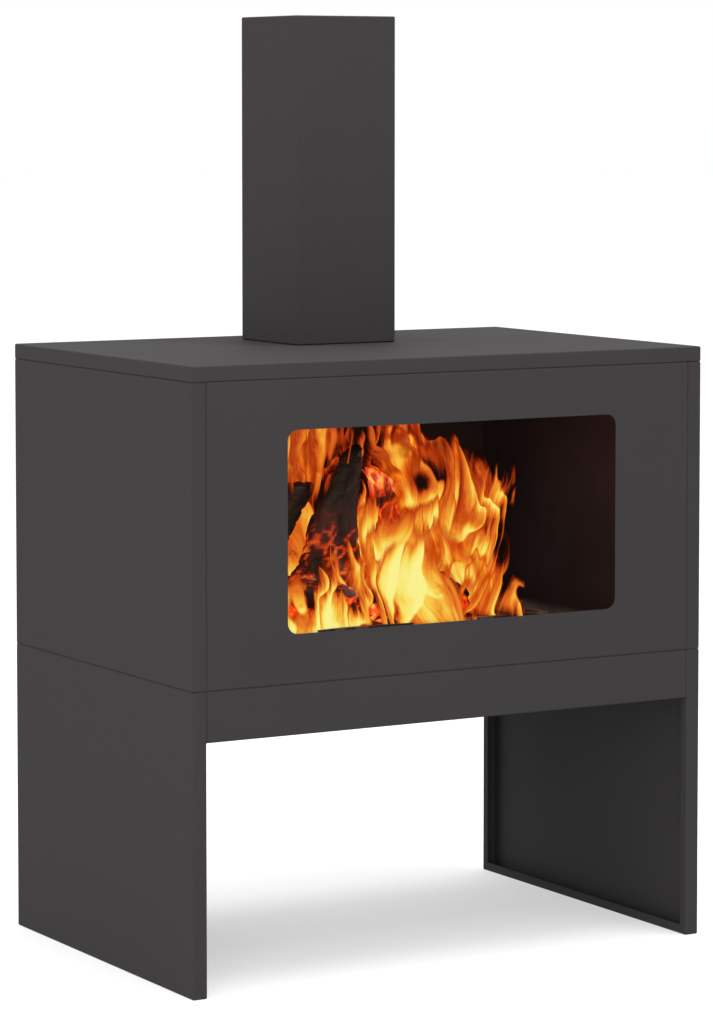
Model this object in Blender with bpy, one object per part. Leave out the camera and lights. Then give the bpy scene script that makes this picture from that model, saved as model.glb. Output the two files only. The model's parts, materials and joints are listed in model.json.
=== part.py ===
"""Garden fireplace (chiminea) folded from sheet steel, standing on two open-backed side legs.

Frame: metres, +Z up, origin on the ground under the middle of the body. +X is to the right
and the front, with its window, faces -Y. Every panel is a folded tray: an outer face whose
edges are turned in as flanges, some of them turned once more as narrow lips. The trays are
screwed to each other through these flanges from inside, so no fastener shows outside.
"""

import math

import bmesh
import bpy
from mathutils import Matrix, Vector

# Body
WIDTH = 0.750
DEPTH = 0.500
HEIGHT = 1.205
STAND_HEIGHT = 0.378
BODY_TOP = 0.775
TOP_EDGE = 0.020
APRON_HEIGHT = 0.063

# Window in the front panel
WINDOW_WIDTH = 0.484
WINDOW_HEIGHT = 0.252
WINDOW_SILL = 0.440
WINDOW_CORNER = 0.014

# Chimney and the flue hole under it
CHIMNEY_SIDE = 0.150
CHIMNEY_CENTRE_Y = 0.100
CHIMNEY_BASE_FLANGE = 0.018
FLUE_SIDE = 0.110
FLUE_CORNER = 0.010

# Sheet metal
SHEET = 0.0015
FOLD_RADIUS = 0.002
FOLD_SEGMENTS = 2
SHARPEST_FLAT = math.radians(30)
FLANGE = 0.020
LIP = 0.012
GAP = 0.0003

# Loose firebox pieces
PAN_WIDTH = 0.450
PAN_DEPTH = 0.310
PAN_HEIGHT = 0.024
PAN_RIM = 0.010
GRATE_WIDTH = 0.420
GRATE_DEPTH = 0.280
GRATE_TOP = 0.425
GRATE_BAR = 0.008
GRATE_RODS = 13
GRATE_ROD_RADIUS = 0.0036
GRATE_ROD_SIDES = 8
FLOOR_EDGE = 0.015
FLOOR_CLEARANCE = 0.001
NOTCH_CLEARANCE = 0.004

# M5 fasteners
SCREW_RADIUS = 0.0025
SCREW_LENGTH = 0.010
LONG_SCREW_LENGTH = 0.012
HEAD_RADIUS = 0.00475
HEAD_HEIGHT = 0.00275
HEAD_CROWN_RADIUS = 0.0033
HEAD_CROWN_HEIGHT = 0.0022
HEAD_RIM_HEIGHT = 0.0007
SOCKET_RADIUS = 0.0016
SOCKET_DEPTH = 0.0014
NUT_WIDTH = 0.008
NUT_HEIGHT = 0.004
HOLE_RADIUS = 0.00285
ROUND_SIDES = 10
HEXAGON_SIDES = 6

# Cutters: how far they reach through the sheet, and how finely their corners are rounded
SHEET_CUT = 8 * SHEET
DRILL_CUT = 4 * SHEET
CORNER_STEPS = 6

# Places that follow from the sizes above
SIDE_X = WIDTH / 2
FRONT_Y = -DEPTH / 2
BODY_BOTTOM = STAND_HEIGHT + GAP
LEG_TOP = STAND_HEIGHT - GAP
PLATE_BOTTOM = BODY_TOP - TOP_EDGE
PANEL_TOP = PLATE_BOTTOM - GAP
PANEL_HEIGHT = PANEL_TOP - BODY_BOTTOM
INFILL_WIDTH = WIDTH - 2 * (FLANGE + GAP)
LIP_SCREW_Y = DEPTH / 2 - (FOLD_RADIUS + LIP) / 2
INFILL_INNER_X = INFILL_WIDTH / 2 - SHEET
TWO_SHEETS = 2 * SHEET + GAP
FLOOR_BOTTOM = BODY_BOTTOM + SHEET + GAP
FLOOR_TOP = FLOOR_BOTTOM + SHEET
PAN_BOTTOM = FLOOR_TOP + GAP
SEAT_SCREW_X = SIDE_X - FLANGE / 2
PLATE_SCREW_X = SIDE_X - (FOLD_RADIUS + LIP) / 2
SEAT_SCREW_Y = 0.150
PANEL_SCREW_INSET = PANEL_HEIGHT / 6
CHIMNEY_LENGTH = HEIGHT - BODY_TOP - GAP
CHIMNEY_SCREW_REACH = CHIMNEY_SIDE / 2 - (FOLD_RADIUS + CHIMNEY_BASE_FLANGE) / 2

# Rotations that turn a tray's outer face, local -Z, towards the named side of the body
FACING = {
    "down": Matrix.Identity(3),
    "up": Matrix(((1, 0, 0), (0, -1, 0), (0, 0, -1))),
    "left": Matrix(((0, 0, 1), (-1, 0, 0), (0, -1, 0))),
    "right": Matrix(((0, 0, -1), (-1, 0, 0), (0, 1, 0))),
    "front": Matrix(((-1, 0, 0), (0, 0, 1), (0, 1, 0))),
    "back": Matrix(((1, 0, 0), (0, 0, -1), (0, 1, 0))),
}
TRAY_X_SIDES = (1, 3)
TRAY_ALL_SIDES = (0, 1, 2, 3)


def clear_scene():
    for obj in list(bpy.data.objects):
        bpy.data.objects.remove(obj)


def make_material(name, colour, roughness, metallic):
    material = bpy.data.materials.new(name)
    material.use_nodes = True
    shader = material.node_tree.nodes["Principled BSDF"]
    shader.inputs["Base Color"].default_value = (*colour, 1.0)
    shader.inputs["Roughness"].default_value = roughness
    shader.inputs["Metallic"].default_value = metallic
    material.diffuse_color = (*colour, 1.0)
    return material


def add_object(name, mesh, parent, location=(0, 0, 0), facing="down"):
    obj = bpy.data.objects.new(name, mesh)
    bpy.context.scene.collection.objects.link(obj)
    obj.parent = parent
    obj.location = location
    obj.rotation_euler = FACING[facing].to_euler()
    return obj


def finish_mesh(bm, name, material=None):
    mesh = bpy.data.meshes.new(name)
    bm.to_mesh(mesh)
    bm.free()
    if material:
        mesh.materials.append(material)
    return mesh


def round_folds(bm, radius):
    """Gives every fold between two faces of a skin its bend radius."""
    folds = [e for e in bm.edges if e.is_manifold and e.calc_face_angle() > SHARPEST_FLAT]
    bmesh.ops.bevel(
        bm,
        geom=folds,
        offset=radius,
        offset_type="OFFSET",
        segments=FOLD_SEGMENTS,
        profile=0.5,
        affect="EDGES",
    )
    bm.verts.index_update()


def sheet_mesh(name, make_skin, material):
    """Closes the space between the outer and the inner skin of a sheet.

    make_skin(inset) returns a skin moved inwards by inset. Both skins have the same layout,
    so their vertices pair up, and their free edges are joined by the cut edge of the sheet.
    """
    bm = make_skin(0)
    inner = make_skin(SHEET)
    outer_verts = list(bm.verts)
    inner_verts = [bm.verts.new(v.co) for v in inner.verts]
    free = [edge.link_loops[0] for edge in bm.edges if edge.is_boundary]
    cut = [(loop.vert.index, loop.link_loop_next.vert.index) for loop in free]
    for face in inner.faces:
        bm.faces.new([inner_verts[v.index] for v in reversed(face.verts)])
    for a, b in cut:
        bm.faces.new((outer_verts[b], outer_verts[a], inner_verts[a], inner_verts[b]))
    inner.free()
    return finish_mesh(bm, name, material)


def inset_profile(profile, inset, closed_base):
    """Moves a right-angled profile of (outset, z) points to its inner side by inset."""
    steps = [(b[0] - a[0], b[1] - a[1]) for a, b in zip(profile, profile[1:])]
    inwards = [Vector((-dz, dr)).normalized() for dr, dz in steps]
    before = [Vector((0, 1)) if closed_base else Vector((0, 0))] + inwards
    after = inwards + [Vector((0, 0))]
    return [Vector(p) + inset * (a + b) for p, a, b in zip(profile, before, after)]


def folded_tray_mesh(name, size, profile, material, closed_base=True, last_sides=TRAY_ALL_SIDES):
    """Folded sheet whose profile of (outset, z) points runs round a size[0] x size[1] rectangle.

    closed_base adds the panel across the first point. The profile's last strip is made only
    on last_sides: 0 and 2 are the -Y and +Y sides, 1 and 3 the +X and -X sides.
    """
    corners = ((-1, -1), (1, -1), (1, 1), (-1, 1))

    def make_skin(inset):
        bm = bmesh.new()
        loops = []
        for outset, z in inset_profile(profile, inset, closed_base):
            half_x = size[0] / 2 + outset
            half_y = size[1] / 2 + outset
            loops.append([bm.verts.new((sx * half_x, sy * half_y, z)) for sx, sy in corners])
        if closed_base:
            bm.faces.new(reversed(loops[0]))
        for index, (lower, upper) in enumerate(zip(loops, loops[1:])):
            is_last = index == len(loops) - 2
            for side in last_sides if is_last else TRAY_ALL_SIDES:
                after = (side + 1) % 4
                bm.faces.new((lower[side], lower[after], upper[after], upper[side]))
        loose = [v for v in bm.verts if not v.link_faces]
        bmesh.ops.delete(bm, geom=loose, context="VERTS")
        round_folds(bm, FOLD_RADIUS - inset)
        return bm

    return sheet_mesh(name, make_skin, material)


def add_tray(name, size, depth, material, parent, location, facing, lip_sides=()):
    """A panel of the given size whose four edges are folded back by depth."""
    profile = [(0, 0), (0, depth)]
    if lip_sides:
        profile.append((-LIP, depth))
    sides = lip_sides or TRAY_ALL_SIDES
    mesh = folded_tray_mesh(name, size, profile, material, last_sides=sides)
    return add_object(name, mesh, parent, location, facing)


def add_cutter(name, bm, target, location=(0, 0, 0)):
    cutter = add_object(name, finish_mesh(bm, name), target.parent, location)
    cutter.hide_render = True
    cutter.display_type = "WIRE"
    boolean = target.modifiers.new(name, "BOOLEAN")
    boolean.operation = "DIFFERENCE"
    boolean.solver = "EXACT"
    boolean.object = cutter
    return cutter


def rounded_prism(width, height, radius, length):
    """A bar of rounded-rectangle section along Z, centred on the origin."""
    bm = bmesh.new()
    outline = []
    for quarter in range(4):
        centre_angle = math.radians(90 * quarter + 45)
        centre_x = math.copysign(width / 2 - radius, math.cos(centre_angle))
        centre_y = math.copysign(height / 2 - radius, math.sin(centre_angle))
        for step in range(CORNER_STEPS + 1):
            angle = math.radians(90 * (quarter + step / CORNER_STEPS))
            x = centre_x + radius * math.cos(angle)
            y = centre_y + radius * math.sin(angle)
            outline.append(bm.verts.new((x, y, -length / 2)))
    base = bm.faces.new(outline)
    grown = bmesh.ops.extrude_face_region(bm, geom=[base])
    lifted = [item for item in grown["geom"] if isinstance(item, bmesh.types.BMVert)]
    bmesh.ops.translate(bm, verts=lifted, vec=(0, 0, length))
    bmesh.ops.recalc_face_normals(bm, faces=bm.faces)
    return bm


def drill(target, places, axis):
    """Cuts a screw's clearance hole through one sheet at each place."""
    bm = bmesh.new()
    turn = Vector((0, 0, 1)).rotation_difference(Vector(axis)).to_matrix().to_4x4()
    for place in places:
        bmesh.ops.create_cone(
            bm,
            cap_ends=True,
            segments=ROUND_SIDES,
            radius1=HOLE_RADIUS,
            radius2=HOLE_RADIUS,
            depth=DRILL_CUT,
            matrix=Matrix.Translation(place) @ turn,
        )
    add_cutter(f"{target.name}_holes", bm, target)


def turned_mesh(name, profile, material):
    """A solid turned about Z from (radius, height) points, whose first and last lie on the axis."""
    bm = bmesh.new()
    rings = []
    for radius, height in profile[1:-1]:
        angles = [2 * math.pi * step / ROUND_SIDES for step in range(ROUND_SIDES)]
        points = [(radius * math.cos(a), radius * math.sin(a), height) for a in angles]
        rings.append([bm.verts.new(point) for point in points])
    first = bm.verts.new((0, 0, profile[0][1]))
    last = bm.verts.new((0, 0, profile[-1][1]))
    for step in range(ROUND_SIDES):
        after = (step + 1) % ROUND_SIDES
        bm.faces.new((first, rings[0][step], rings[0][after]))
        for upper, lower in zip(rings, rings[1:]):
            bm.faces.new((upper[step], lower[step], lower[after], upper[after]))
        bm.faces.new((last, rings[-1][after], rings[-1][step]))
    return finish_mesh(bm, name, material)


def screw_mesh(name, length, material):
    """A button-head screw: the head stands on the plane z = 0 and the shank runs down."""
    profile = [
        (0, HEAD_HEIGHT - SOCKET_DEPTH),
        (SOCKET_RADIUS, HEAD_HEIGHT - SOCKET_DEPTH),
        (SOCKET_RADIUS, HEAD_HEIGHT),
        (HEAD_CROWN_RADIUS, HEAD_CROWN_HEIGHT),
        (HEAD_RADIUS, HEAD_RIM_HEIGHT),
        (HEAD_RADIUS, 0),
        (SCREW_RADIUS, 0),
        (SCREW_RADIUS, -length),
        (0, -length),
    ]
    return turned_mesh(name, profile, material)


def nut_mesh(name, material):
    """A hexagon nut hanging below the plane z = 0, with a round bore."""
    bm = bmesh.new()
    bmesh.ops.create_cone(
        bm,
        cap_ends=True,
        segments=HEXAGON_SIDES,
        radius1=NUT_WIDTH / math.sqrt(3),
        radius2=NUT_WIDTH / math.sqrt(3),
        depth=NUT_HEIGHT,
        matrix=Matrix.Translation((0, 0, -NUT_HEIGHT / 2)),
    )
    caps = [face for face in bm.faces if abs(face.normal.z) > 0.5]
    bmesh.ops.delete(bm, geom=caps, context="FACES_ONLY")
    rims = []
    for height in (0, -NUT_HEIGHT):
        angles = [2 * math.pi * step / ROUND_SIDES for step in range(ROUND_SIDES)]
        bore = [(HOLE_RADIUS * math.cos(a), HOLE_RADIUS * math.sin(a), height) for a in angles]
        rim = [bm.verts.new(point) for point in bore]
        edges = [bm.edges.new((a, b)) for a, b in zip(rim, rim[1:] + rim[:1])]
        outer = [e for e in bm.edges if e.is_boundary and abs(e.verts[0].co.z - height) < GAP
                 and abs(e.verts[1].co.z - height) < GAP]
        bmesh.ops.triangle_fill(bm, use_beauty=True, edges=edges + outer)
        rims.append(rim)
    for step in range(ROUND_SIDES):
        after = (step + 1) % ROUND_SIDES
        bm.faces.new((rims[0][step], rims[0][after], rims[1][after], rims[1][step]))
    bmesh.ops.recalc_face_normals(bm, faces=bm.faces)
    return finish_mesh(bm, name, material)


def add_fixing(name, screw, nut, parent, face_point, head_direction, grip):
    """A screw whose head bears on face_point, and its nut on the far side of the grip."""
    outwards = Vector(head_direction)
    turn = Vector((0, 0, 1)).rotation_difference(outwards).to_euler()
    bolt = add_object(f"screw_{name}", screw, parent, Vector(face_point) + GAP * outwards)
    bolt.rotation_euler = turn
    if nut:
        seat = Vector(face_point) - (grip + GAP) * outwards
        add_object(f"nut_{name}", nut, parent, seat).rotation_euler = turn


def add_stand(coat, parent):
    legs = {}
    for side, facing, sign in (("left", "left", -1), ("right", "right", 1)):
        place = (sign * SIDE_X, 0, LEG_TOP / 2)
        size = (DEPTH, LEG_TOP)
        legs[sign] = add_tray(
            f"{side}_leg", size, FLANGE, coat, parent, place, facing, TRAY_ALL_SIDES
        )
    aprons = {}
    middle = LEG_TOP - APRON_HEIGHT / 2
    for side, facing, sign in (("front", "front", -1), ("rear", "back", 1)):
        place = (0, sign * DEPTH / 2, middle)
        size = (INFILL_WIDTH, APRON_HEIGHT)
        aprons[sign] = add_tray(f"{side}_apron", size, FLANGE, coat, parent, place, facing)
    return legs, aprons


def add_firebox_walls(coat, parent):
    middle = BODY_BOTTOM + PANEL_HEIGHT / 2
    sides = {}
    for side, sign in (("left", -1), ("right", 1)):
        place = (sign * SIDE_X, 0, middle)
        size = (DEPTH, PANEL_HEIGHT)
        sides[sign] = add_tray(
            f"{side}_side_panel", size, FLANGE, coat, parent, place, side, TRAY_X_SIDES
        )
    infills = {}
    for side, facing, sign in (("front", "front", -1), ("back", "back", 1)):
        place = (0, sign * DEPTH / 2, middle)
        size = (INFILL_WIDTH, PANEL_HEIGHT)
        infills[sign] = add_tray(f"{side}_panel", size, FLANGE, coat, parent, place, facing)
    return sides, infills


def cut_window(front_panel):
    bm = rounded_prism(WINDOW_WIDTH, WINDOW_HEIGHT, WINDOW_CORNER, SHEET_CUT)
    place = (0, FRONT_Y, WINDOW_SILL + WINDOW_HEIGHT / 2)
    cutter = add_cutter("window_cutter", bm, front_panel, place)
    cutter.rotation_euler = FACING["front"].to_euler()


def add_floor(coat, parent):
    """The firebox floor: it rests on the wall flanges, its side wings reach into the side trays
    past the corner flanges. Of the outline's twelve edges, every third one is the end of the
    main part or of a wing, and is turned up."""
    main_x = INFILL_INNER_X - 2 * GAP
    wing_y = DEPTH / 2 - FLANGE - NOTCH_CLEARANCE
    raised_edges = range(2, 12, 3)

    def make_skin(inset):
        main_y = DEPTH / 2 - SHEET - FLOOR_CLEARANCE - inset
        wing_x = SIDE_X - SHEET - FLOOR_CLEARANCE - inset
        quarter = [(main_x, main_y), (main_x, wing_y), (wing_x, wing_y)]
        right_half = [(x, -y) for x, y in quarter] + [(x, y) for x, y in reversed(quarter)]
        outline = right_half + [(-x, -y) for x, y in right_half]
        bm = bmesh.new()
        corners = [bm.verts.new((x, y, inset)) for x, y in outline]
        bm.faces.new(reversed(corners))
        for start in raised_edges:
            low = (corners[start], corners[(start + 1) % len(corners)])
            high = [bm.verts.new((*v.co.xy, FLOOR_EDGE)) for v in low]
            bm.faces.new((low[0], low[1], high[1], high[0]))
        round_folds(bm, FOLD_RADIUS - inset)
        return bm

    mesh = sheet_mesh("firebox_floor", make_skin, coat)
    return add_object("firebox_floor", mesh, parent, (0, 0, FLOOR_BOTTOM))


def add_top_plate(coat, parent):
    plate = add_tray(
        "top_plate", (WIDTH, DEPTH), TOP_EDGE, coat, parent, (0, 0, BODY_TOP), "up", TRAY_ALL_SIDES
    )
    bm = rounded_prism(FLUE_SIDE, FLUE_SIDE, FLUE_CORNER, SHEET_CUT)
    add_cutter("flue_cutter", bm, plate, (0, CHIMNEY_CENTRE_Y, BODY_TOP))
    return plate


def add_chimney(coat, parent):
    """A square tube with its foot and its rim folded inwards."""
    profile = [(-CHIMNEY_BASE_FLANGE, 0), (0, 0), (0, CHIMNEY_LENGTH), (-LIP, CHIMNEY_LENGTH)]
    size = (CHIMNEY_SIDE, CHIMNEY_SIDE)
    mesh = folded_tray_mesh("chimney", size, profile, coat, closed_base=False)
    return add_object("chimney", mesh, parent, (0, CHIMNEY_CENTRE_Y, BODY_TOP + GAP))


def add_ash_pan(steel, parent):
    """A shallow tray with an outward rim, standing loose on the firebox floor."""
    profile = [(0, 0), (0, PAN_HEIGHT), (PAN_RIM, PAN_HEIGHT)]
    mesh = folded_tray_mesh("ash_pan", (PAN_WIDTH, PAN_DEPTH), profile, steel)
    return add_object("ash_pan", mesh, parent, (0, 0, PAN_BOTTOM))


def add_box(bm, low, high):
    centre = (Vector(low) + Vector(high)) / 2
    size = Vector(high) - Vector(low)
    matrix = Matrix.Translation(centre) @ Matrix.Diagonal((*size, 1))
    bmesh.ops.create_cube(bm, size=1, matrix=matrix)


def add_fire_grate(iron, pan):
    """A welded bar frame on four feet with rods across it, standing inside the ash pan."""
    half_x = GRATE_WIDTH / 2
    half_y = GRATE_DEPTH / 2
    bottom = -GRATE_BAR
    foot = PAN_BOTTOM + SHEET + GAP - GRATE_TOP
    frame = bmesh.new()
    add_box(frame, (-half_x, -half_y, bottom), (half_x, half_y, 0))
    grate = add_object("fire_grate", finish_mesh(frame, "fire_grate", iron), pan)
    grate.location = (0, 0, GRATE_TOP - PAN_BOTTOM)

    opening = bmesh.new()
    inner_x = half_x - GRATE_BAR
    inner_y = half_y - GRATE_BAR
    add_box(opening, (-inner_x, -inner_y, 2 * bottom), (inner_x, inner_y, GRATE_BAR))
    cutter = add_cutter("grate_opening", opening, grate, grate.location)
    cutter.parent = pan

    bars = bmesh.new()
    across = Matrix.Rotation(math.radians(90), 4, "X")
    pitch = (GRATE_WIDTH - GRATE_BAR) / (GRATE_RODS + 1)
    for index in range(GRATE_RODS):
        x = (index - (GRATE_RODS - 1) / 2) * pitch
        bmesh.ops.create_cone(
            bars,
            cap_ends=True,
            segments=GRATE_ROD_SIDES,
            radius1=GRATE_ROD_RADIUS,
            radius2=GRATE_ROD_RADIUS,
            depth=GRATE_DEPTH - GRATE_BAR,
            matrix=Matrix.Translation((x, 0, bottom / 2)) @ across,
        )
    for sign_x in (-1, 1):
        for sign_y in (-1, 1):
            near = (sign_x * half_x, sign_y * half_y, foot)
            far = (sign_x * inner_x, sign_y * inner_y, bottom / 2)
            low = [min(a, b) for a, b in zip(near, far)]
            high = [max(a, b) for a, b in zip(near, far)]
            inset = Vector((sign_x, sign_y, 0)) * GAP
            add_box(bars, Vector(low) - inset, Vector(high) - inset)
    rods = add_cutter("grate_bars", bars, grate, grate.location)
    rods.parent = pan
    grate.modifiers["grate_bars"].operation = "UNION"
    return grate


def add_wall_fixings(screw, nut, parent, sides, infills):
    """Front and back panels screwed to the side panels' lips, two screws at each corner."""
    heights = {"lower": BODY_BOTTOM + PANEL_SCREW_INSET, "upper": PANEL_TOP - PANEL_SCREW_INSET}
    for y_name, sign_y in (("front", -1), ("back", 1)):
        for x_name, sign_x in (("left", -1), ("right", 1)):
            for level, height in heights.items():
                face = (sign_x * INFILL_INNER_X, sign_y * LIP_SCREW_Y, height)
                name = f"{y_name}_{x_name}_{level}"
                add_fixing(name, screw, nut, parent, face, (-sign_x, 0, 0), TWO_SHEETS)
    for panels in (sides, infills):
        for sign, panel in panels.items():
            xs = (sign * SIDE_X - sign * FLANGE,)
            ys = (-LIP_SCREW_Y, LIP_SCREW_Y)
            if panels is infills:
                xs = (-INFILL_INNER_X, INFILL_INNER_X)
                ys = (sign * LIP_SCREW_Y,)
            drill(panel, [(x, y, z) for x in xs for y in ys for z in heights.values()], (1, 0, 0))


def add_apron_fixings(screw, nut, parent, legs, aprons):
    height = LEG_TOP - APRON_HEIGHT / 2
    for y_name, sign_y in (("front", -1), ("rear", 1)):
        for x_name, sign_x in (("left", -1), ("right", 1)):
            face = (sign_x * INFILL_INNER_X, sign_y * LIP_SCREW_Y, height)
            name = f"{y_name}_apron_{x_name}"
            add_fixing(name, screw, nut, parent, face, (-sign_x, 0, 0), TWO_SHEETS)
    for sign, leg in legs.items():
        x = sign * (SIDE_X - FLANGE)
        drill(leg, [(x, y, height) for y in (-LIP_SCREW_Y, LIP_SCREW_Y)], (1, 0, 0))
    for sign, apron in aprons.items():
        y = sign * LIP_SCREW_Y
        drill(apron, [(x, y, height) for x in (-INFILL_INNER_X, INFILL_INNER_X)], (1, 0, 0))


def add_seat_fixings(long_screw, screw, nut, parent, floor, sides, legs, plate):
    """Upright screws: firebox floor to legs at the bottom, side panels to top plate above."""
    leg_flange = LEG_TOP - SHEET
    for x_name, sign_x in (("left", -1), ("right", 1)):
        for y_name, sign_y in (("front", -1), ("rear", 1)):
            y = sign_y * SEAT_SCREW_Y
            seat = (sign_x * SEAT_SCREW_X, y, FLOOR_TOP)
            name = f"seat_{x_name}_{y_name}"
            add_fixing(name, long_screw, nut, parent, seat, (0, 0, 1), FLOOR_TOP - leg_flange)
            under = (sign_x * PLATE_SCREW_X, y, PANEL_TOP - SHEET)
            name = f"plate_{x_name}_{y_name}"
            add_fixing(name, screw, nut, parent, under, (0, 0, -1), TWO_SHEETS)
    rows = (-SEAT_SCREW_Y, SEAT_SCREW_Y)
    for sign in (-1, 1):
        low = [(sign * SEAT_SCREW_X, y, BODY_BOTTOM) for y in rows]
        high = [(sign * PLATE_SCREW_X, y, PANEL_TOP) for y in rows]
        drill(legs[sign], [(x, y, LEG_TOP) for x, y, _ in low], (0, 0, 1))
        drill(sides[sign], low + high, (0, 0, 1))
    drill(floor, [(s * SEAT_SCREW_X, y, FLOOR_TOP) for s in (-1, 1) for y in rows], (0, 0, 1))
    drill(plate, [(s * PLATE_SCREW_X, y, PLATE_BOTTOM) for s in (-1, 1) for y in rows], (0, 0, 1))


def add_chimney_fixings(screw, parent, plate, chimney):
    """Four screws from under the top plate into tapped holes in the chimney's foot."""
    reach = CHIMNEY_SCREW_REACH
    offsets = {"front": (0, -reach), "rear": (0, reach), "left": (-reach, 0), "right": (reach, 0)}
    places = []
    for name, (x, dy) in offsets.items():
        under = (x, CHIMNEY_CENTRE_Y + dy, BODY_TOP - SHEET)
        add_fixing(f"chimney_{name}", screw, None, parent, under, (0, 0, -1), TWO_SHEETS)
        places.append(under)
    drill(plate, places, (0, 0, 1))
    drill(chimney, [(x, y, BODY_TOP + GAP + SHEET) for x, y, _ in places], (0, 0, 1))


def build():
    clear_scene()
    coat = make_material("anthracite_powder_coat", (0.052, 0.050, 0.051), 0.5, 0.0)
    steel = make_material("black_pan_steel", (0.040, 0.038, 0.037), 0.6, 0.0)
    iron = make_material("raw_grate_iron", (0.060, 0.055, 0.050), 0.7, 1.0)
    zinc = make_material("zinc_plated_steel", (0.55, 0.55, 0.53), 0.35, 1.0)

    body = bpy.data.objects.new("fireplace_body", None)
    bpy.context.scene.collection.objects.link(body)

    legs, aprons = add_stand(coat, body)
    sides, infills = add_firebox_walls(coat, body)
    cut_window(infills[-1])
    floor = add_floor(coat, body)
    plate = add_top_plate(coat, body)
    chimney = add_chimney(coat, body)
    pan = add_ash_pan(steel, body)
    add_fire_grate(iron, pan)

    screw = screw_mesh("screw", SCREW_LENGTH, zinc)
    long_screw = screw_mesh("long_screw", LONG_SCREW_LENGTH, zinc)
    nut = nut_mesh("nut", zinc)
    add_wall_fixings(screw, nut, body, sides, infills)
    add_apron_fixings(screw, nut, body, legs, aprons)
    add_seat_fixings(long_screw, screw, nut, body, floor, sides, legs, plate)
    add_chimney_fixings(screw, body, plate, chimney)


build()
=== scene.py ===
"""Looks of the garden fireplace: powder-coated sheet steel with a sooty firebox and a wood fire.

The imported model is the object. It gets its finishes here, and the sealant in its seams. All
the rest is stage and no part of the object: the floor, the logs, the coals and the flames.
Lengths are in metres.
"""

import json
import math
import random

import bmesh
import bpy
from mathutils import Matrix, Vector, noise

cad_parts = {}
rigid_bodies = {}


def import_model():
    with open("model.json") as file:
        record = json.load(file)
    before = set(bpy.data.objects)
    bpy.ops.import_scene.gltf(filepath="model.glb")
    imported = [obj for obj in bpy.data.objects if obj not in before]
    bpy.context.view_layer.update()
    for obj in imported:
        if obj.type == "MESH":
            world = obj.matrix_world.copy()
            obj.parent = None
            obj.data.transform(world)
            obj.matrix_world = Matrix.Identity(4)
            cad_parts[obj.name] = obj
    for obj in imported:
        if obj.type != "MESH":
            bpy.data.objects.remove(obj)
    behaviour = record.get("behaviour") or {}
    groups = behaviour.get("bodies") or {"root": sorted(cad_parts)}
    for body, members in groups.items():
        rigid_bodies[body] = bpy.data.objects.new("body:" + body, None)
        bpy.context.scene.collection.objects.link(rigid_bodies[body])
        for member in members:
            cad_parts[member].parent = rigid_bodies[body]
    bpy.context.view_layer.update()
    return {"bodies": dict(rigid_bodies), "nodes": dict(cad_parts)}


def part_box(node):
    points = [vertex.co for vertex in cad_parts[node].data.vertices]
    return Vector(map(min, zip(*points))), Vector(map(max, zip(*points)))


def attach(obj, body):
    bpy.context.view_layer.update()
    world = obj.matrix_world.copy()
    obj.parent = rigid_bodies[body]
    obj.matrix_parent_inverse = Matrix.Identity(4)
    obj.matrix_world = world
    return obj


# Camera: it turns right by the yaw and down by the pitch, in radians; its lens is in millimetres
CAMERA_PLACE = (-2.51804, -4.32391, 1.09749)
CAMERA_YAW = 0.5275
CAMERA_PITCH = 0.06753
CAMERA_LENS = 135.08
CAMERA_SHIFT = -0.15

# Light
WHITE = (1, 1, 1, 1)
WORLD_STRENGTH = 1.0
SOFTBOX_AIM = (0, 0, 0.6)
SOFTBOXES = (
    # name, place, side, power
    ("overhead_softbox", (0.0, 0.0, 5.0), 4.0, 260.0),
    ("high_front_softbox", (0.6, -2.0, 4.5), 3.0, 130.0),
    ("low_front_softbox", (-3.5, -5.0, 1.8), 3.0, 136.0),
    ("left_softbox", (-5.0, -1.0, 1.6), 3.0, 84.0),
    ("rear_softbox", (-3.5, 2.5, 4.0), 3.0, 50.0),
)

# Floor: how strongly it glows near the object and far away, and from where to where that changes
FLOOR_GLOW = (0.44, 0.64)
FLOOR_FADE = (1.5, 6.0)
FLOOR_HALF_SIZE = 40.0

# Seams: the gap between panels, and the sealant's depth under the outer face, width and thickness
SEAM_GAP = 0.0003
BEAD_DEPTH = 0.0007
BEAD_WIDTH = 0.0009
BEAD_THICKNESS = 0.0004

# Finishes: a point this far under the outer face is inside; the width of the pan's rim; and the
# heights between which ash dust begins to lie on the soot
SKIN = 0.0008
PAN_RIM = 0.010
DUST_HEIGHTS = (0.40, 0.385)
COAT_TINT = (1.06, 0.99, 1.01)
SOOT_TINT = (1.2, 0.95, 1.0)
DARK_RUST = (0.10, 0.032, 0.012, 1)
LIGHT_RUST = (0.20, 0.075, 0.03, 1)
STRAW = (0.40, 0.31, 0.18, 1)

# Folds: faces that meet at less than this angle are shaded as one rounded surface. Corners
# that lie closer than the weld distance are joined first
FOLD_ANGLE = math.radians(50)
WELD_DISTANCE = 1e-5

# Colours of fire: place on the ramp, colour
FIRE_COLOURS = (
    (0.00, (0.004, 0.001, 0.001)),
    (0.11, (0.020, 0.003, 0.002)),
    (0.22, (0.130, 0.013, 0.004)),
    (0.32, (0.400, 0.042, 0.006)),
    (0.43, (0.680, 0.115, 0.012)),
    (0.56, (0.840, 0.250, 0.022)),
    (0.68, (0.920, 0.520, 0.055)),
    (0.80, (0.940, 0.760, 0.140)),
    (1.00, (0.960, 0.880, 0.270)),
)
EMBER_COLOURS = (
    (0.00, (0.0, 0.0, 0.0)),
    (0.15, (0.10, 0.004, 0.0)),
    (0.40, (0.80, 0.055, 0.004)),
    (0.70, (1.0, 0.22, 0.015)),
    (1.00, (1.0, 0.60, 0.12)),
)

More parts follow.
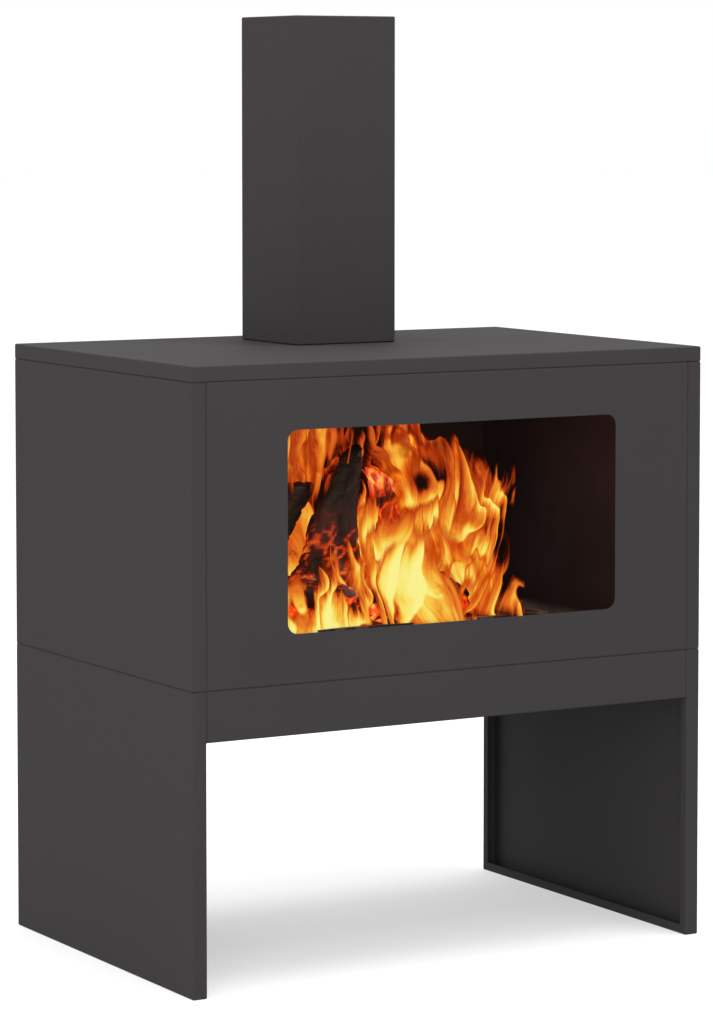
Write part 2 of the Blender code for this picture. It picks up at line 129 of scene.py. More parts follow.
# Flames: curved sheets that start a little under the grate's top
FLAME_SHEETS = (
    # place, turn in degrees, width, height, seed, heat
    ((-0.080, -0.140), 0, 0.36, 0.14, 3, 0.26),
    ((-0.026, -0.065), -22, 0.42, 0.24, 7, 0.20),
    ((-0.007, -0.019), -22, 0.44, 0.32, 11, 0.16),
    ((0.013, 0.032), -22, 0.50, 0.38, 17, 0.27),
    ((0.030, 0.074), -22, 0.52, 0.42, 23, 0.36),
)
FLAME_SINK = 0.03
FLAME_BEND = 0.03
FLAME_COLUMNS, FLAME_ROWS = 28, 20
# Where the fire is hotter or hollow: place across and up a sheet, half size each way, gain
FIRE_SPOTS = (
    (0.066, 0.095, 0.070, 0.072, 0.76),
    (-0.070, 0.035, 0.064, 0.042, 0.50),
    (0.160, 0.060, 0.050, 0.060, 0.42),
    (0.205, 0.140, 0.045, 0.070, 0.30),
    (0.098, 0.190, 0.034, 0.026, -0.70),
    (0.000, 0.190, 0.020, 0.030, -0.35),
    (0.190, 0.210, 0.035, 0.055, 0.34),
    (-0.065, 0.245, 0.052, 0.060, 0.55),
    (0.140, 0.268, 0.040, 0.028, -0.55),
)
# The pattern: how far each seed moves it, its stretch upwards, the scale and amount of its curls
FLAME_SEED_STEP = (0.37, 0.0, 0.53)
FLAME_STRETCH = (1.0, 0.45, 1.0)
FLAME_CURLS = ((7.0, 0.20), (22.0, 0.035))
# Broad folds and thin streaks: folds to the metre, how much they wander, and each one's share
FOLDS_PER_METRE = 30.0
FOLD_WANDER = 5.0
FOLD_SHARE = 0.66
STREAK_STRETCH = (3.8, 1.0, 1.0)
STREAK_SHARE = 1.0
# The amount of fire: at the foot and the tip, lost at the sides, and what the body's noise does
FOOT_AMOUNT, TIP_AMOUNT = 0.62, -0.05
SIDE_LOSS = 0.8
BODY_GAIN, BODY_SHIFT = 2.8, -1.44
# Amounts between which a flame takes shape, tints what is behind it, and covers it
SHAPE_AMOUNTS = (0.05, 0.45)
VEIL_AMOUNTS = (0.12, 0.42)
COVER_AMOUNTS = (0.27, 0.60)
VEIL_TINT = (1.0, 0.58, 0.30, 1)
# Heights over which flames appear, and over which they cool from the first share to the second
FOOT_HEIGHTS = (0.016, 0.034)
COOLING_HEIGHTS = (0.09, 0.24)
COOLING_SHARES = (0.80, 0.59)
# The fire fades away over this height under the firebox's ceiling
CEILING_FADE = 0.02

FIRE_LIGHTS = (
    # place, power
    ((0.14, -0.10, 0.60), 1.6),
    ((-0.12, -0.08, 0.60), 0.8),
)
FIRE_LIGHT_COLOUR = (1.0, 0.46, 0.30)
FIRE_LIGHT_RADIUS = 0.06

# Burning wood: how strongly it glows, and how much of that shows outside its cracks
CHARCOALS = {
    "charred_wood": (0.6, 0.12),
    "ember_wood": (1.0, 0.30),
    "glowing_coals": (1.6, 0.40),
    "cooling_coals": (0.5, 0.10),
}
LOGS = (
    # start, end, radius at each, seed, hot end (0 the start, 1 the end), finish
    ((-0.050, -0.005, 0.440), (-0.002, 0.010, 0.646), (0.046, 0.012), 1.3, 0, "charred_wood"),
    ((0.052, -0.035, 0.440), (0.026, -0.012, 0.610), (0.022, 0.014), 4.1, 1, "ember_wood"),
    ((-0.030, -0.090, 0.449), (0.118, -0.066, 0.452), (0.026, 0.022), 7.7, 0, "charred_wood"),
    ((-0.185, 0.010, 0.452), (-0.066, 0.036, 0.596), (0.028, 0.020), 9.2, 0, "charred_wood"),
    ((-0.165, 0.090, 0.456), (0.150, 0.095, 0.458), (0.032, 0.028), 12.6, 1, "charred_wood"),
    ((-0.190, -0.080, 0.448), (-0.035, -0.050, 0.451), (0.026, 0.024), 15.4, 1, "charred_wood"),
    ((0.030, 0.030, 0.480), (0.128, -0.010, 0.452), (0.024, 0.024), 18.9, 0, "charred_wood"),
)
LOG_RINGS, LOG_SIDES = 90, 56
# A log's section and run as shares of its radius: wedge, oval, lumps, and the bow of its axis
LOG_WEDGE = 0.22
LOG_OVAL = 0.10
LOG_LUMPS = 0.25
LOG_BOW = 0.12
# The ends of a log are rounded over this many rings, and its far end is cut slanting
END_RINGS = 3.0
END_SLANT = 0.8
# Charred blocks: size round and along a log, the width of a crack as a share of a block, its depth
BLOCK_ROUND, BLOCK_ALONG = 0.013, 0.024
LOG_CRACK_WIDTH = 0.22
LOG_CRACK_DEPTH = 0.0028

# Coals: how many, their sizes, the seed, and the heights between which they lie
BED_COALS = (140, (0.016, 0.034), 5)
BED_HEIGHTS = (0.006, 0.022)
FALLEN_COALS = (90, (0.004, 0.011), 8)
FALLEN_HEIGHTS = (0.004, 0.009)
# Clearance from the edges of the grate or the pan; the bed's is larger at the right edge
COAL_MARGIN = (0.035, 0.030, 0)
BED_RIGHT_MARGIN = 0.085
# A coal's stretch along each axis, its heat, and its lumps and cracks as shares of its radius
COAL_STRETCH = (0.7, 1.25)
COAL_HEAT = (0.45, 1.0)
COAL_LUMPS = 0.35
COAL_CRACK_WIDTH = 0.25
COAL_CRACK_DEPTH = 0.10

# noise.noise_vector draws from this seed; without one it would start from the clock
NOISE_SEED = 4

# Which sockets of a mix node carry the two values and the result
MIX_SOCKETS = {"FLOAT": (2, 3, 0), "RGBA": (6, 7, 2)}


class Graph:
    """A material's node tree, with one call for each node and its links."""

    def __init__(self, name):
        self.material = bpy.data.materials.new(name)
        self.material.use_nodes = True
        self.tree = self.material.node_tree
        self.tree.nodes.clear()

    def add(self, kind, sockets=None, **settings):
        """Adds a node; sockets maps each input to a value, or to the output that feeds it."""
        node = self.tree.nodes.new(kind)
        for key, value in settings.items():
            setattr(node, key, value)
        for key, value in (sockets or {}).items():
            if isinstance(value, bpy.types.NodeSocket):
                self.tree.links.new(value, node.inputs[key])
            else:
                node.inputs[key].default_value = value
        return node

    def position(self):
        return self.add("ShaderNodeTexCoord").outputs["Object"]

    def axes(self, vector):
        return self.add("ShaderNodeSeparateXYZ", {"Vector": vector}).outputs

    def attribute(self, name):
        return self.add("ShaderNodeAttribute", attribute_name=name).outputs["Fac"]

    def vector(self, operation, first, second):
        sockets = {0: first, "Scale" if operation == "SCALE" else 1: second}
        node = self.add("ShaderNodeVectorMath", sockets, operation=operation)
        return node.outputs["Vector"]

    def length(self, vector):
        node = self.add("ShaderNodeVectorMath", {0: vector}, operation="LENGTH")
        return node.outputs["Value"]

    def warp(self, vector, scale, amount):
        """Pushes vector about by a coloured noise, up to about half of amount each way."""
        sockets = {"Vector": vector, "Scale": scale, "Detail": 1.5}
        colour = self.add("ShaderNodeTexNoise", sockets).outputs["Color"]
        centred = self.vector("SUBTRACT", colour, (0.5, 0.5, 0.5))
        return self.vector("ADD", vector, self.vector("SCALE", centred, amount))

    def ramp(self, factor, stops):
        node = self.add("ShaderNodeValToRGB", {"Fac": factor})
        elements = node.color_ramp.elements
        while len(elements) < len(stops):
            elements.new(0.5)
        for element, (place, colour) in zip(elements, stops):
            element.position = place
            element.color = (*colour, 1.0)
        return node.outputs["Color"]

    def noise(self, vector, scale, detail=2.0, roughness=0.5, distortion=0.0):
        sockets = {
            "Vector": vector,
            "Scale": scale,
            "Detail": detail,
            "Roughness": roughness,
            "Distortion": distortion,
        }
        return self.add("ShaderNodeTexNoise", sockets).outputs["Fac"]

    def math(self, operation, *values):
        return self.add("ShaderNodeMath", dict(enumerate(values)), operation=operation).outputs[0]

    def between(self, value, low, high, out_low=0.0, out_high=1.0):
        """Maps value from low..high to out_low..out_high, smoothly and clamped."""
        sockets = {
            "Value": value,
            "From Min": low,
            "From Max": high,
            "To Min": out_low,
            "To Max": out_high,
        }
        node = self.add("ShaderNodeMapRange", sockets, interpolation_type="SMOOTHSTEP")
        return node.outputs["Result"]

    def mix(self, factor, first, second, kind="RGBA"):
        first_socket, second_socket, result = MIX_SOCKETS[kind]
        sockets = {0: factor, first_socket: first, second_socket: second}
        return self.add("ShaderNodeMix", sockets, data_type=kind).outputs[result]

    def bump(self, height, distance, normal=None):
        sockets = {"Height": height, "Distance": distance}
        if normal:
            sockets["Normal"] = normal
        return self.add("ShaderNodeBump", sockets).outputs["Normal"]

    def surface(self, sockets):
        return self.add("ShaderNodeBsdfPrincipled", sockets).outputs["BSDF"]

    def cut_out(self, cover, shader, tint=WHITE):
        """The shader where cover is 1, and clear where it is 0."""
        clear = self.add("ShaderNodeBsdfTransparent", {"Color": tint}).outputs["BSDF"]
        sockets = {0: cover, 1: clear, 2: shader}
        return self.add("ShaderNodeMixShader", sockets).outputs["Shader"]

    def finish(self, shader):
        self.add("ShaderNodeOutputMaterial", {"Surface": shader})
        return self.material


def grey(value, tint=(1.0, 1.0, 1.0)):
    return (value * tint[0], value * tint[1], value * tint[2], 1.0)


def inner_mask(graph, position):
    """1 on the inner faces of the firebox and the chimney, 0 on everything that shows outside."""
    axes = graph.axes(position)
    chimney_low, chimney_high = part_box("chimney")
    walls_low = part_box("left_side_panel")[0]
    walls_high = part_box("right_side_panel")[1]
    plate_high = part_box("top_plate")[1]
    rooms = (
        (tuple(walls_low), (walls_high.x, walls_high.y, plate_high.z)),
        ((chimney_low.x, chimney_low.y, walls_low.z), tuple(chimney_high)),
    )
    masks = []
    for low, high in rooms:
        inside = 1.0
        for axis, start, end in zip(axes, low, high):
            above = graph.math("GREATER_THAN", axis, start + SKIN)
            below = graph.math("LESS_THAN", axis, end - SKIN)
            inside = graph.math("MULTIPLY", graph.math("MULTIPLY", above, below), inside)
        masks.append(inside)
    return graph.math("MAXIMUM", *masks)


def powder_coat():
    """Fine-textured anthracite powder coat outside, soot and ash dust where the fire reaches."""
    graph = Graph("anthracite_powder_coat")
    position = graph.position()
    inside = inner_mask(graph, position)

    clouds = graph.noise(position, 5.0, detail=4.0)
    specks = graph.noise(position, 420.0, detail=1.0)
    coat = graph.mix(clouds, grey(0.0255, COAT_TINT), grey(0.0285, COAT_TINT))
    coat = graph.mix(graph.between(specks, 0.60, 0.75, 0.0, 0.25), coat, grey(0.045))

    smoke = graph.noise(position, 9.0, detail=6.0, roughness=0.6, distortion=0.6)
    soot = graph.mix(smoke, grey(0.008, SOOT_TINT), grey(0.022, SOOT_TINT))
    low = graph.between(graph.axes(position)["Z"], *DUST_HEIGHTS)
    dust = graph.math("MULTIPLY", low, graph.noise(position, 34.0, detail=5.0))
    soot = graph.mix(dust, soot, grey(0.16, (1.0, 0.95, 0.9)))
    colour = graph.mix(inside, coat, soot)

    peel = graph.noise(position, 650.0, detail=2.0)
    sheet = graph.noise(position, 2.6, detail=1.0)
    crust = graph.noise(position, 160.0, detail=6.0, roughness=0.7)
    grain = graph.mix(inside, peel, crust, "FLOAT")
    normal = graph.bump(sheet, 0.0006, graph.bump(grain, 0.00012))

    rough = graph.between(clouds, 0.3, 0.7, 0.70, 0.78)
    rough = graph.math("ADD", rough, graph.math("MULTIPLY", inside, 0.18))
    shader = graph.surface(
        {"Base Color": colour, "Roughness": rough, "Specular IOR Level": 0.03, "Normal": normal}
    )
    return graph.finish(shader)


def pan_steel():
    """Black rolled steel, with a film of grey wood ash over the floor of the pan."""
    graph = Graph("ash_dusted_pan_steel")
    position = graph.position()
    axes = graph.axes(position)
    low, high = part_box("ash_pan")
    inside = 1.0
    for axis, reach in ((axes["X"], high.x), (axes["Y"], high.y)):
        within = graph.math("LESS_THAN", graph.math("ABSOLUTE", axis), reach - PAN_RIM - SKIN)
        inside = graph.math("MULTIPLY", within, inside)
    rolled = graph.noise(position, 30.0, detail=5.0)
    steel = graph.mix(rolled, grey(0.018), grey(0.045, (1.0, 0.93, 0.86)))
    heap = graph.noise(position, 22.0, detail=6.0, roughness=0.65)
    depth = graph.math("ADD", graph.between(axes["Z"], high.z, low.z), heap)
    cover = graph.math("MULTIPLY", graph.between(depth, 1.05, 1.65), inside)
    ash = graph.mix(graph.noise(position, 190.0, detail=3.0), grey(0.07), grey(0.26))
    flakes = graph.noise(position, 260.0, detail=5.0, roughness=0.7)
    shader = graph.surface(
        {
            "Base Color": graph.mix(cover, steel, ash),
            "Roughness": graph.between(cover, 0.0, 1.0, 0.55, 0.95),
            "Normal": graph.bump(flakes, 0.0004),
        }
    )
    return graph.finish(shader)


def grate_iron():
    """Burnt iron bars: grey-black scale with brown rust coming through."""
    graph = Graph("burnt_grate_iron")
    position = graph.position()
    patches = graph.noise(position, 26.0, detail=6.0, roughness=0.65)
    scale = graph.mix(graph.noise(position, 300.0), grey(0.016), grey(0.05))
    rust = graph.mix(graph.noise(position, 140.0), DARK_RUST, LIGHT_RUST)
    rusty = graph.between(patches, 0.52, 0.68, 0.0, 0.75)
    pits = graph.noise(position, 420.0, detail=4.0, roughness=0.7)
    shader = graph.surface(
        {
            "Base Color": graph.mix(rusty, scale, rust),
            "Metallic": graph.between(rusty, 0.0, 0.6, 0.75, 0.0),
            "Roughness": graph.between(rusty, 0.0, 0.75, 0.55, 0.9),
            "Normal": graph.bump(pits, 0.0004),
        }
    )
    return graph.finish(shader)


def zinc():
    """Bright zinc plating, dulled and straw-coloured by heat."""
    graph = Graph("zinc_plated_steel")
    position = graph.position()
    bloom = graph.noise(position, 240.0, detail=4.0)
    bright = graph.mix(bloom, grey(0.42, (0.98, 1.0, 1.03)), grey(0.66))
    heat = graph.between(graph.noise(position, 60.0, detail=3.0), 0.45, 0.65)
    scratches = graph.noise(position, 1500.0, detail=2.0)
    shader = graph.surface(
        {
            "Base Color": graph.mix(heat, bright, STRAW),
            "Metallic": 1.0,
            "Roughness": graph.between(bloom, 0.3, 0.7, 0.28, 0.48),
            "Normal": graph.bump(scratches, 0.00004),
        }
    )
    return graph.finish(shader)


def floor_paint():
    """A plain pale studio floor, which glows a little more where the softboxes don't reach."""
    graph = Graph("pale_floor")
    position = graph.position()
    distance = graph.length(position)
    tone = graph.noise(position, 3.0, detail=3.0)
    shader = graph.surface(
        {
            "Base Color": graph.mix(tone, grey(0.39), grey(0.41)),
            "Roughness": 0.9,
            "Specular IOR Level": 0.1,
            "Emission Color": WHITE,
            "Emission Strength": graph.between(distance, *FLOOR_FADE, *FLOOR_GLOW),
        }
    )
    return graph.finish(shader)


def ceiling_mask(graph):
    """0 above the firebox, so that fire on a lifted grate doesn't come out through the plate."""
    height = graph.axes(graph.add("ShaderNodeNewGeometry").outputs["Position"])["Z"]
    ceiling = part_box("left_side_panel")[1].z
    return graph.between(height, ceiling, ceiling - CEILING_FADE)


def flame(seed, width, height, heat):
    """Thin burning gas: curling folds with a bright edge, and dark hollows between them.

    The UV map is in metres: across the sheet from its middle, and up from its foot. The amount
    of fire is about 0 where there is none and about 1 where it is hottest.
    """
    graph = Graph(f"flame_{seed}")
    uv = graph.add("ShaderNodeUVMap").outputs["UV"]
    axes = graph.axes(uv)
    across, up = axes["X"], axes["Y"]
    place = graph.vector("ADD", uv, [seed * step for step in FLAME_SEED_STEP])
    swirl = graph.vector("MULTIPLY", place, FLAME_STRETCH)
    for scale, push in FLAME_CURLS:
        swirl = graph.warp(swirl, scale, push)
    body = graph.noise(swirl, 9.0, detail=1.5)
    wave = graph.math("MULTIPLY", graph.noise(swirl, 13.0, detail=1.5), FOLD_WANDER)
    phase = graph.math("MULTIPLY_ADD", graph.axes(swirl)["X"], FOLDS_PER_METRE, wave)
    fold = graph.math("FRACT", phase)
    fold = graph.math("MULTIPLY", graph.math("POWER", fold, 1.5), graph.between(fold, 1.0, 0.88))
    streak = graph.vector("MULTIPLY", swirl, STREAK_STRETCH)
    streak = graph.noise(streak, 34.0, detail=5.0, roughness=0.6)

    rise = graph.between(up, 0.0, height, FOOT_AMOUNT, TIP_AMOUNT)
    aside = graph.math("ABSOLUTE", across)
    loss = graph.between(aside, 0.25 * width, 0.5 * width, 0.0, SIDE_LOSS)
    amount = graph.math("SUBTRACT", graph.math("ADD", rise, heat), loss)
    body = graph.math("MULTIPLY_ADD", body, BODY_GAIN, BODY_SHIFT)
    amount = graph.math("ADD", amount, body)
    for x, y, half_x, half_y, gain in FIRE_SPOTS:
        away = graph.vector("SUBTRACT", uv, (x, y, 0))
        away = graph.vector("MULTIPLY", away, (1 / half_x, 1 / half_y, 1))
        near = graph.between(graph.length(away), 1.6, 0.0, 0.0, gain)
        amount = graph.math("ADD", amount, near)
    shape = graph.between(amount, *SHAPE_AMOUNTS)
    for part, share in ((fold, FOLD_SHARE), (streak, STREAK_SHARE)):
        part = graph.math("MULTIPLY_ADD", part, share, -0.5 * share)
        amount = graph.math("MULTIPLY_ADD", part, shape, amount)
    cooling = graph.between(up, *COOLING_HEIGHTS, *COOLING_SHARES)
    colour = graph.ramp(graph.math("MULTIPLY", amount, cooling), FIRE_COLOURS)

    shown = graph.math("MULTIPLY", ceiling_mask(graph), graph.between(up, height, 0.9 * height))
    shown = graph.math("MULTIPLY", shown, graph.between(up, *FOOT_HEIGHTS))
    cover = graph.math("MULTIPLY", graph.between(amount, *COVER_AMOUNTS), shown)
    veil = graph.math("MULTIPLY", graph.between(amount, *VEIL_AMOUNTS), shown)
    tint = graph.mix(veil, WHITE, VEIL_TINT)
    glow = graph.add("ShaderNodeEmission", {"Color": colour, "Strength": 1.0})
    return graph.finish(graph.cut_out(cover, glow.outputs["Emission"], tint))


def charcoal(name, glow, spread):
    """Burning wood: black blocks with ash-grey rims, glowing where the mesh's cracks are deep.

    The mesh carries two attributes: crack, 1 in the bottom of a crack, and burning, 1 where
    the wood burns hottest.
    """
    graph = Graph(name)
    position = graph.position()
    crack = graph.attribute("crack")
    heat = graph.attribute("burning")
    patches = graph.noise(position, 34.0, detail=4.0)
    grit = graph.noise(position, 420.0, detail=4.0, roughness=0.7)
    char = graph.mix(grit, grey(0.0015), grey(0.008, (1.05, 1.0, 0.9)))
    ash = graph.mix(grit, grey(0.06, (1.0, 0.97, 0.93)), grey(0.20))
    ashy = graph.between(graph.math("MULTIPLY", patches, heat), 0.40, 0.62, 0.0, 0.6)
    lit = graph.between(patches, 0.36, 0.56)
    fire = graph.math("MULTIPLY", graph.math("MULTIPLY_ADD", crack, 1 - spread, spread), lit)
    fire = graph.math("MULTIPLY", fire, graph.between(heat, 0.15, 0.9))
    shader = graph.surface(
        {
            "Base Color": graph.mix(ashy, char, ash),
            "Roughness": graph.between(grit, 0.3, 0.7, 0.45, 0.85),
            "Specular IOR Level": 0.2,
            "Emission Color": graph.ramp(fire, EMBER_COLOURS),
            "Emission Strength": glow,
            "Normal": graph.bump(grit, 0.0012),
        }
    )
    return graph.finish(graph.cut_out(ceiling_mask(graph), shader))


def fold_shading():
    """Modifier group: joins the loose triangles and shades every fold as a round bend."""
    group = bpy.data.node_groups.new("fold_shading", "GeometryNodeTree")
    group.interface.new_socket("Geometry", in_out="INPUT", socket_type="NodeSocketGeometry")
    group.interface.new_socket("Geometry", in_out="OUTPUT", socket_type="NodeSocketGeometry")
    nodes, link = group.nodes, group.links.new
    start = nodes.new("NodeGroupInput")
    weld = nodes.new("GeometryNodeMergeByDistance")
    weld.inputs["Distance"].default_value = WELD_DISTANCE
    plain = nodes.new("GeometryNodeRemoveAttribute")
    plain.inputs["Name"].default_value = "custom_normal"
    smooth = nodes.new("GeometryNodeSetShadeSmooth")
    smooth.domain = "FACE"
    angle = nodes.new("GeometryNodeInputMeshEdgeAngle")
    is_fold = nodes.new("FunctionNodeCompare")
    is_fold.operation = "LESS_THAN"
    is_fold.inputs["B"].default_value = FOLD_ANGLE
    edges = nodes.new("GeometryNodeSetShadeSmooth")
    edges.domain = "EDGE"
    end = nodes.new("NodeGroupOutput")
    link(start.outputs[0], weld.inputs["Geometry"])
    link(weld.outputs["Geometry"], plain.inputs["Geometry"])
    link(plain.outputs["Geometry"], smooth.inputs["Geometry"])
    link(smooth.outputs["Geometry"], edges.inputs["Geometry"])
    link(angle.outputs["Unsigned Angle"], is_fold.inputs["A"])
    link(is_fold.outputs["Result"], edges.inputs["Shade Smooth"])
    link(edges.outputs["Geometry"], end.inputs[0])
    return group


def dress_cad_nodes(nodes):
    """Gives every node its finish and its fold shading; returns the finishes by slot name."""
    group = fold_shading()
    finishes = {
        "powder_coat": powder_coat(),
        "pan_steel": pan_steel(),
        "grate_iron": grate_iron(),
        "zinc": zinc(),
    }
    for node in nodes.values():
        slot = node.material_slots[0]
        slot.material = finishes[slot.material.name]
        shading = node.modifiers.new("fold_shading", "NODES")
        shading.node_group = group
        weighted = node.modifiers.new("flat_faces_first", "WEIGHTED_NORMAL")
        weighted.keep_sharp = True
    return finishes


def link_object(name, data, place=(0, 0, 0)):
    obj = bpy.data.objects.new(name, data)
    obj.location = place
    bpy.context.scene.collection.objects.link(obj)
    return obj


def new_mesh(name, verts, faces, material):
    mesh = bpy.data.meshes.new(name)
    mesh.from_pydata(verts, [], faces)
    mesh.materials.append(material)
    return mesh


def seam_boxes():
    """Low and high corner of the sealant in every outer seam, on all four sides."""
    panel_low, panel_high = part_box("front_panel")
    apron_low, apron_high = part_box("front_apron")
    plate_low, plate_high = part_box("top_plate")
    half_x, half_y = plate_high.x - BEAD_DEPTH, plate_high.y - BEAD_DEPTH
    half = BEAD_WIDTH / 2
    upright_x = panel_high.x + SEAM_GAP / 2
    for sign in (-1, 1):
        x_low, x_high = sorted((sign * half_x, sign * (half_x - BEAD_THICKNESS)))
        y_low, y_high = sorted((sign * half_y, sign * (half_y - BEAD_THICKNESS)))
        for x in (-upright_x, upright_x):
            for low, high in ((panel_low.z, panel_high.z), (apron_low.z, apron_high.z)):
                yield (x - half, y_low, low), (x + half, y_high, high)
        for z in (panel_low.z - SEAM_GAP, plate_low.z - half):
            yield (-half_x, y_low, z - half), (half_x, y_high, z + half)
            yield (x_low, -half_y, z - half), (x_high, half_y, z + half)


def add_sealant(finish):
    """Dark sealant in the outer seams: it keeps the smoke in, and makes the seams shallow."""
    verts, faces = [], []
    sides = ((0, 2, 3, 1), (4, 5, 7, 6), (0, 1, 5, 4), (2, 6, 7, 3), (0, 4, 6, 2), (1, 3, 7, 5))
    for box in seam_boxes():
        faces.extend([[len(verts) + corner for corner in side] for side in sides])
        for corner in range(8):
            verts.append([box[corner >> axis & 1][axis] for axis in range(3)])
    mesh = new_mesh("seam_sealant", verts, faces, finish)
    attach(link_object("seam_sealant", mesh), "fireplace")


def add_floor():
    size = FLOOR_HALF_SIZE
    corners = [(-size, -size, 0), (size, -size, 0), (size, size, 0), (-size, size, 0)]
    mesh = new_mesh("studio_floor", corners, [(0, 1, 2, 3)], floor_paint())
    floor = link_object("studio_floor", mesh)


def add_light():
    world = bpy.data.worlds.new("soft_studio")
    world.use_nodes = True
    background = world.node_tree.nodes["Background"]
    background.inputs["Color"].default_value = WHITE
    background.inputs["Strength"].default_value = WORLD_STRENGTH
    bpy.context.scene.world = world
    for name, place, side, power in SOFTBOXES:
        softbox = bpy.data.lights.new(name, "AREA")
        softbox.size = side
        softbox.energy = power
        light = link_object(name, softbox, place)
        aim = Vector(SOFTBOX_AIM) - light.location
        light.rotation_euler = aim.to_track_quat("-Z", "Y").to_euler()
    bpy.context.scene.view_settings.view_transform = "Standard"


def add_camera():
    lens = bpy.data.cameras.new("camera")
    lens.lens = CAMERA_LENS
    lens.shift_y = CAMERA_SHIFT
    camera = link_object("camera", lens, CAMERA_PLACE)
    camera.rotation_euler = (math.pi / 2 - CAMERA_PITCH, 0, -CAMERA_YAW)
    bpy.context.scene.camera = camera


def lay_on(obj, body):
    """Fire and wood lie on a body and go up with it, but are no part of the object."""
    obj.parent = body


def flame_sheet(name, width, height, seed, heat):
    """A curved upright sheet of flame, with a UV map in metres."""
    verts, uvs = [], []
    for row in range(FLAME_ROWS + 1):
        z = height * row / FLAME_ROWS
        for column in range(FLAME_COLUMNS + 1):
            x = width * (column / FLAME_COLUMNS - 0.5)
            sway = noise.noise((x * 6 + seed, z * 5, seed * 1.7))
            depth = FLAME_BEND * (sway + 0.6 * math.cos(math.pi * x / width) - 0.3)
            verts.append((x + 0.15 * FLAME_BEND * sway, depth, z))
            uvs.append((x, z))
    faces = []
    row_length = FLAME_COLUMNS + 1
    for row in range(FLAME_ROWS):
        for column in range(FLAME_COLUMNS):
            start = row * row_length + column
            faces.append((start, start + 1, start + row_length + 1, start + row_length))
    mesh = new_mesh(name, verts, faces, flame(seed, width, height, heat))
    layer = mesh.uv_layers.new(name="metres")
    for loop in mesh.loops:
        layer.data[loop.index].uv = uvs[loop.vertex_index]
    mesh.shade_smooth()
    sheet = link_object(name, mesh)
    sheet.visible_diffuse = False
    sheet.visible_shadow = False
    return sheet


def burning_mesh(name, verts, faces, cracks, heats, material):
    mesh = new_mesh(name, verts, faces, material)
    for label, values in (("crack", cracks), ("burning", heats)):
        mesh.attributes.new(label, "FLOAT", "POINT").data.foreach_set("value", values)
    mesh.shade_smooth()
    return mesh


def crack_depth(place, width):
    """How deep in a crack a place lies, 0 to 1; cracks of this width run round cells of size 1."""
    nearest = noise.voronoi(place, distance_metric="DISTANCE")[0]
    return max(0.0, 1.0 - (nearest[1] - nearest[0]) / width)


def char_crack(across, along, seed):
    """How deep in a crack a point of charred wood lies, 0 to 1; cracks run round small blocks."""
    place = Vector((across / BLOCK_ROUND, along / BLOCK_ALONG, seed))
    place += 0.5 * noise.noise_vector(Vector((across * 40, along * 40, seed)))
    return crack_depth(place, LOG_CRACK_WIDTH)


def log_mesh(name, start, end, radii, seed, hot_end, material):
    """A split, charred log from start to end: a rough wedge in section, with cracked blocks."""
    start, end = Vector(start), Vector(end)
    axis = end - start
    length = axis.length
    turn = axis.to_track_quat("Z", "X").to_matrix()
    verts, cracks, heats = [], [], []
    for ring in range(LOG_RINGS + 1):
        share = ring / LOG_RINGS
        close = min(1.0, (min(share, 1 - share) * LOG_RINGS + 0.001) / END_RINGS) ** 0.5
        radius = radii[0] + (radii[1] - radii[0]) * share
        bow = LOG_BOW * radii[0] * noise.noise_vector(Vector((share * 2.0, seed, 0)))
        distance = share if hot_end == 0 else 1 - share
        for side in range(LOG_SIDES):
            angle = 2 * math.pi * side / LOG_SIDES
            cosine, sine = math.cos(angle), math.sin(angle)
            wedge = 1.0 + LOG_WEDGE * math.cos(3 * angle + seed) + LOG_OVAL * math.cos(2 * angle)
            lump = LOG_LUMPS * noise.noise(Vector((cosine, sine, share * 3 + seed)))
            crack = char_crack(angle * radius, share * length, seed) * (0.35 + 0.65 * close)
            reach = radius * close * (wedge + lump) - LOG_CRACK_DEPTH * crack
            along = share * length - END_SLANT * share**4 * reach * cosine
            point = Vector((reach * cosine, reach * sine, along))
            verts.append(start + turn @ (point + bow))
            cracks.append(crack)
            heats.append(max(0.0, min(1.0, 1.15 - 1.5 * distance)))
    faces = []
    for ring in range(LOG_RINGS):
        for side in range(LOG_SIDES):
            low, after = ring * LOG_SIDES + side, ring * LOG_SIDES + (side + 1) % LOG_SIDES
            faces.append((low, after, after + LOG_SIDES, low + LOG_SIDES))
    faces.append(tuple(reversed(range(LOG_SIDES))))
    faces.append(tuple(range(LOG_RINGS * LOG_SIDES, (LOG_RINGS + 1) * LOG_SIDES)))
    return burning_mesh(name, verts, faces, cracks, heats, material)


def coal_mesh(name, low, high, coals, material):
    """A layer of broken glowing coals, spread over the box from low to high."""
    count, sizes, seed = coals
    chance = random.Random(seed)
    ball = bmesh.new()
    bmesh.ops.create_icosphere(ball, subdivisions=3, radius=1.0)
    shape = [v.co.copy() for v in ball.verts]
    shape_faces = [[v.index for v in face.verts] for face in ball.faces]
    ball.free()
    verts, faces, cracks, heats = [], [], [], []
    for _ in range(count):
        centre = Vector([chance.uniform(a, b) for a, b in zip(low, high)])
        size = chance.uniform(*sizes) / 2
        stretch = [size * chance.uniform(*COAL_STRETCH) for _ in range(3)]
        spin = Matrix.Rotation(chance.uniform(0, math.tau), 3, "Z")
        heat = chance.uniform(*COAL_HEAT)
        faces.extend([[len(verts) + index for index in face] for face in shape_faces])
        for corner in shape:
            crack = crack_depth(corner * 1.1 + centre * 90, COAL_CRACK_WIDTH)
            lump = COAL_LUMPS * noise.noise(corner * 1.3 + centre * 60)
            reach = 1.0 + lump - COAL_CRACK_DEPTH * crack
            point = Vector([c * reach * s for c, s in zip(corner, stretch)])
            point.rotate(spin)
            verts.append(centre + point)
            cracks.append(crack)
            heats.append(heat)
    return burning_mesh(name, verts, faces, cracks, heats, material)


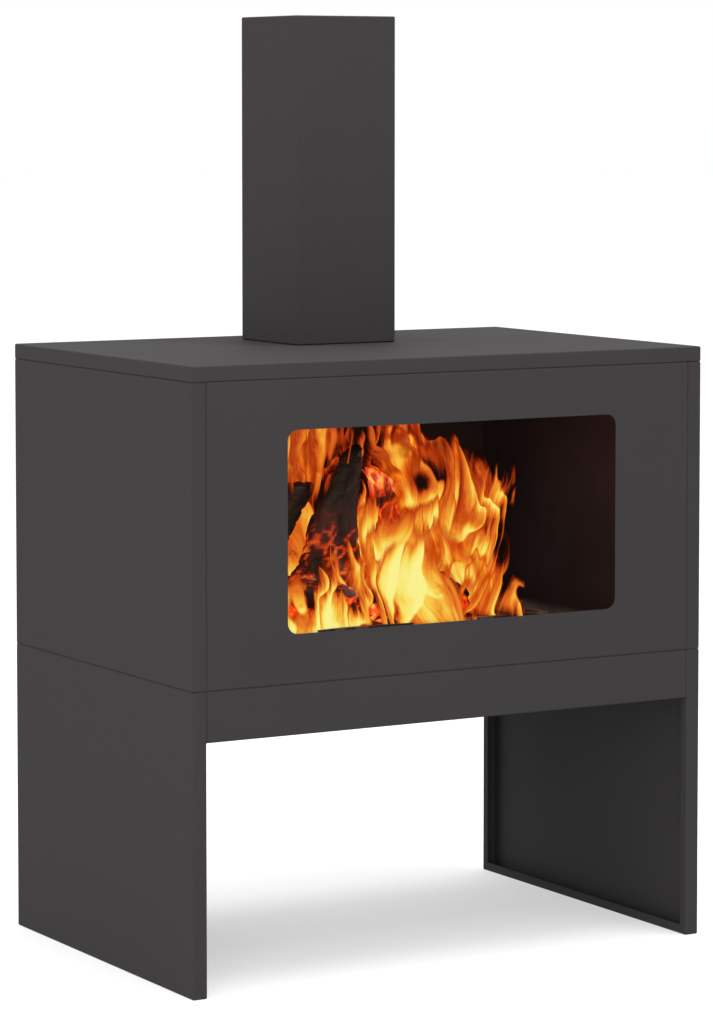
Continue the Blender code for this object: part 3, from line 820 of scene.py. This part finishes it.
def add_wood(bodies):
    wood = {name: charcoal(name, *glow) for name, glow in CHARCOALS.items()}
    for index, (start, end, radii, seed, hot_end, finish) in enumerate(LOGS, 1):
        name = f"log_{index}"
        mesh = log_mesh(name, start, end, radii, seed, hot_end, wood[finish])
        lay_on(link_object(name, mesh), bodies["fire_grate"])

    margin = Vector(COAL_MARGIN)
    low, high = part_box("fire_grate")
    bottom, top = (high.z + height for height in BED_HEIGHTS)
    bed_low = (*(low + margin).xy, bottom)
    bed_high = (high.x - BED_RIGHT_MARGIN, high.y - margin.y, top)
    bed = coal_mesh("coal_bed", bed_low, bed_high, BED_COALS, wood["glowing_coals"])
    lay_on(link_object("coal_bed", bed), bodies["fire_grate"])

    low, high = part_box("ash_pan")
    bottom, top = (low.z + height for height in FALLEN_HEIGHTS)
    fallen_low = (*(low + margin).xy, bottom)
    fallen_high = (*(high - margin).xy, top)
    cooling = wood["cooling_coals"]
    fallen = coal_mesh("fallen_coals", fallen_low, fallen_high, FALLEN_COALS, cooling)
    lay_on(link_object("fallen_coals", fallen), bodies["ash_pan"])


def add_fire(bodies):
    """Flames on the grate, and two lights that stay where they are when it is lifted."""
    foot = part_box("fire_grate")[1].z - FLAME_SINK
    for index, (place, turn, width, height, seed, heat) in enumerate(FLAME_SHEETS, 1):
        sheet = flame_sheet(f"flame_sheet_{index}", width, height, seed, heat)
        sheet.location = (*place, foot)
        sheet.rotation_euler = (0, 0, math.radians(turn))
        lay_on(sheet, bodies["fire_grate"])
    for index, (place, power) in enumerate(FIRE_LIGHTS, 1):
        lamp = bpy.data.lights.new(f"fire_light_{index}", "POINT")
        lamp.energy = power
        lamp.color = FIRE_LIGHT_COLOUR
        lamp.shadow_soft_size = FIRE_LIGHT_RADIUS
        link_object(lamp.name, lamp, place)


noise.seed_set(NOISE_SEED)
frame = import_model()
add_camera()
add_light()
add_floor()
finishes = dress_cad_nodes(frame["nodes"])
add_sealant(finishes["powder_coat"])
add_wood(frame["bodies"])
add_fire(frame["bodies"])
